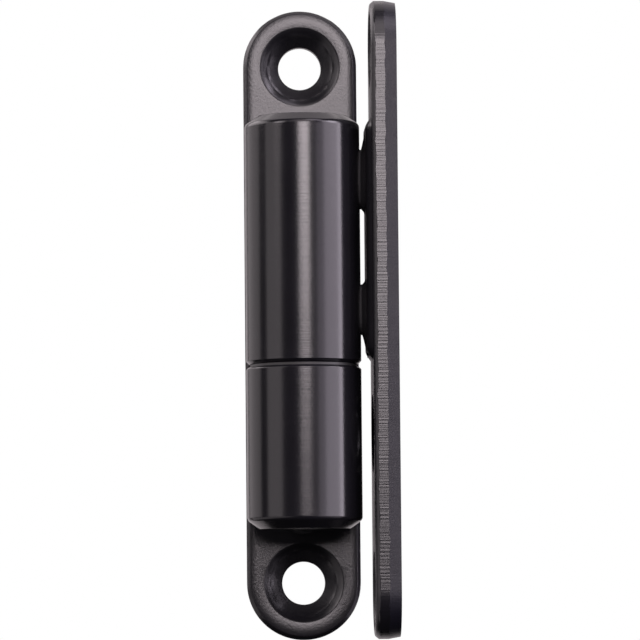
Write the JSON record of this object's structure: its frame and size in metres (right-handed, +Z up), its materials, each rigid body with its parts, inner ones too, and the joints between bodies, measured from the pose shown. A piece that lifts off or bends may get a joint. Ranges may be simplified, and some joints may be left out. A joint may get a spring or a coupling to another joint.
{
  "type": "surface-mount door hinge",
  "caption": "Surface-mount lift-off door hinge: round-ended plates with countersunk screw holes, welded to a split turned barrel that swings on a pin.",
  "frame": {"origin": "centre of the frame leaf's back face, midway between its two end screw holes", "axes": "+Y out of the frame leaf's back face, into what it is screwed to; +Z up along the pin, the way the door leaf lifts off; +X from the pin towards the door leaf as the picture shows it, open at a right angle"},
  "size_m": [0.0237, 0.0237, 0.1],
  "materials": {
    "coated_plate": "satin black coating on blanked steel",
    "coated_barrel": "satin black coating on turned steel",
    "coated_weld": "satin black coating on weld metal",
    "pin_steel": "ground steel",
    "washer_nylon": "black nylon",
    "bush_acetal": "natural acetal"
  },
  "bodies": {
    "frame_side": {"frame_leaf": "coated_plate", "frame_barrel": "coated_barrel", "frame_weld_upper": "coated_weld", "frame_weld_lower": "coated_weld", "hinge_pin": "pin_steel"},
    "washer": {"thrust_washer": "washer_nylon"},
    "door_side": {"door_leaf": "coated_plate", "door_barrel": "coated_barrel", "door_weld_upper": "coated_weld", "door_weld_lower": "coated_weld", "door_bush": "bush_acetal"}
  },
  "joints": [
    {"name": "swing", "type": "hinge", "parent": "frame_side", "child": "washer", "pos_m": [0, -0.0147, 0], "axis": [0, 0, 1], "range_deg": [-196.5, 16.5]},
    {"name": "lift_off", "type": "slide", "parent": "washer", "child": "door_side", "axis": [0, 0, 1], "range_m": [0, 0.03]}
  ]
}
